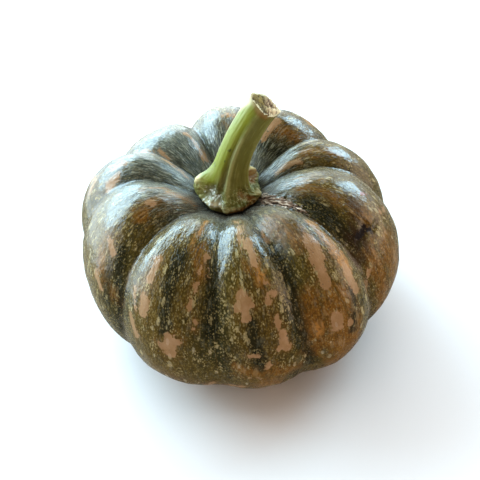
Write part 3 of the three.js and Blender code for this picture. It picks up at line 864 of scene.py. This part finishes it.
wrapped = made_by(tree, "GeometryNodeSetPosition", {"Geometry": given["Geometry"], "Position": position})
tear_inputs = {"Geometry": wrapped, "Name": "tear", "Value": fibres * 0.7 + coarse * 0.3}
kept = made_by(tree, "GeometryNodeStoreNamedAttribute", tear_inputs)
spot_inputs = {"Geometry": kept, "Name": "cut_spot", 3: cut_spot}
kept = made_by(tree, "GeometryNodeStoreNamedAttribute", spot_inputs, data_type="FLOAT_VECTOR")
closed = made_by(tree, "GeometryNodeMergeByDistance", {"Geometry": kept, "Distance": 0.001 * MM})
bark_spot = carried(tree, "bark_map", "FLOAT_VECTOR")
low = soft_step(place_up, 3.4, 1.8) * soft_step(place_up, 0.2, 0.7)
warts = (noise(stretched(bark_spot, 1.6, 1.6, 1), 620, 2, 0.6) - 0.5) * given["Wart Height"]
knots = (noise(stretched(bark_spot, 1, 1, 0.5), 150, 2, 0.5) - 0.5) * given["Knot Height"]
strands = (noise(stretched(bark_spot, 1, 1, 0.1), 700, 2, 0.5) - 0.5) * given["Strand Height"]
rough = warts * (low * 2.4 + 0.12) + knots * (low + 0.5) + strands
rough = rough * soft_step(place_up, 0.0, 0.4) * (1 - near_tear)
normal = made_by(tree, "GeometryNodeInputNormal")
lumpy = made_by(tree, "GeometryNodeSetPosition", {"Geometry": closed, "Offset": scaled(normal, rough)})
finish_tree(tree, lumpy, given["Bark"])
apply_tree(stem_bark, tree, stem_inputs)
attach(stem_bark, "root")
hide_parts("stem")

# Stage: a plain pale floor and soft studio lamps. A cool window stands behind on the left and a second on
# the right, with pale walls to the left, to the right and behind and a ceiling above. A dim warm lamp in
# front fills the shadows.
FLOOR_SIZE = 6.0
floor_mesh = bpy.data.meshes.new("floor")
half = FLOOR_SIZE / 2
floor_corners = [(-half, -half, 0), (half, -half, 0), (half, half, 0), (-half, half, 0)]
floor_mesh.from_pydata(floor_corners, [], [(0, 1, 2, 3)])
floor = bpy.data.objects.new("floor", floor_mesh)
bpy.context.scene.collection.objects.link(floor)
floor_paint, tree, shader = new_material("pale_floor")
shader.inputs["Base Color"].default_value = (0.86, 0.8, 0.78, 1)
shader.inputs["Roughness"].default_value = 0.9
floor_mesh.materials.append(floor_paint)
floor.visible_glossy = False

LAMPS = [  # name, direction it shines from (degrees round and up), distance, size, colour, power in watts
    ("window", 131, 24, 1.4, (1.7, 1.05), (0.5, 0.81, 1.0), 56),
    ("window_wall", 126, 12, 2.2, (5.6, 3.2), (0.74, 0.91, 1.0), 175),
    ("left_wall", 178, 14, 1.6, (1.2, 1.0), (1.0, 0.93, 0.82), 9),
    ("second_window", 40, 23, 1.7, (0.75, 0.95), (0.5, 0.81, 1.0), 28),
    ("far_wall", 60, 12, 2.0, (2.6, 1.6), (0.9, 0.96, 1.0), 14),
    ("ceiling", 85, 72, 1.8, (1.8, 1.8), (0.9, 0.97, 1.0), 18),
    ("right_wall", 4, 8, 2.0, (1.8, 1.4), (1.0, 0.76, 0.6), 14),
    ("fill", 298, 6, 1.5, (1.7, 1.1), (1.0, 0.78, 0.56), 11.5),
]
middle = Vector((0, 0, 0.05))
for name, round_it, above_it, distance, size, tone, power in LAMPS:
    lamp = bpy.data.lights.new(name, "AREA")
    lamp.shape = "RECTANGLE"
    lamp.size, lamp.size_y = size
    lamp.color = tone
    lamp.energy = power
    holder = bpy.data.objects.new(name, lamp)
    raised_by = Matrix.Rotation(math.radians(-above_it), 3, "Y")
    towards = Matrix.Rotation(math.radians(round_it), 3, "Z") @ raised_by
    holder.location = middle + towards @ Vector((distance, 0, 0))
    holder.rotation_euler = (middle - holder.location).to_track_quat("-Z", "Y").to_euler()
    holder.visible_glossy = name not in ("fill", "ceiling")  # these two don't mirror in the wax
    holder.visible_camera = False
    bpy.context.scene.collection.objects.link(holder)
world = bpy.data.worlds.new("room")
bpy.context.scene.world = world
world.use_nodes = True
world.node_tree.nodes["Background"].inputs["Color"].default_value = (1.0, 0.9, 0.8, 1)
world.node_tree.nodes["Background"].inputs["Strength"].default_value = 0.16
world.cycles_visibility.glossy = False
bpy.context.scene.view_settings.view_transform = "Standard"

# Camera: at the height and distance that the photograph was taken from, held a little askew.
CAMERA_RISE = math.radians(46.4)
CAMERA_TURN = math.radians(-0.5)
CAMERA_ROLL = math.radians(-6.5)
CAMERA_DISTANCE = 0.45
AIM = Vector((-FOOTPRINT_MIDDLE[0], -FOOTPRINT_MIDDLE[1], 49)) * MM
LENS = 55.6
back = Vector((
    math.sin(CAMERA_TURN) * math.cos(CAMERA_RISE),
    -math.cos(CAMERA_TURN) * math.cos(CAMERA_RISE),
    math.sin(CAMERA_RISE),
))
right = Vector((math.cos(CAMERA_TURN), math.sin(CAMERA_TURN), 0))
up = back.cross(right)
tilted_right = right * math.cos(CAMERA_ROLL) + up * math.sin(CAMERA_ROLL)
tilted_up = up * math.cos(CAMERA_ROLL) - right * math.sin(CAMERA_ROLL)
camera = bpy.data.objects.new("camera", bpy.data.cameras.new("camera"))
camera.data.lens = LENS
camera.data.shift_x = 0.0119
camera.data.shift_y = -0.0065
camera.data.clip_start = 0.01
turned = Matrix((tilted_right, tilted_up, back)).transposed().to_4x4()
camera.matrix_world = Matrix.Translation(AIM + back * CAMERA_DISTANCE) @ turned
bpy.context.scene.collection.objects.link(camera)
bpy.context.scene.camera = camera
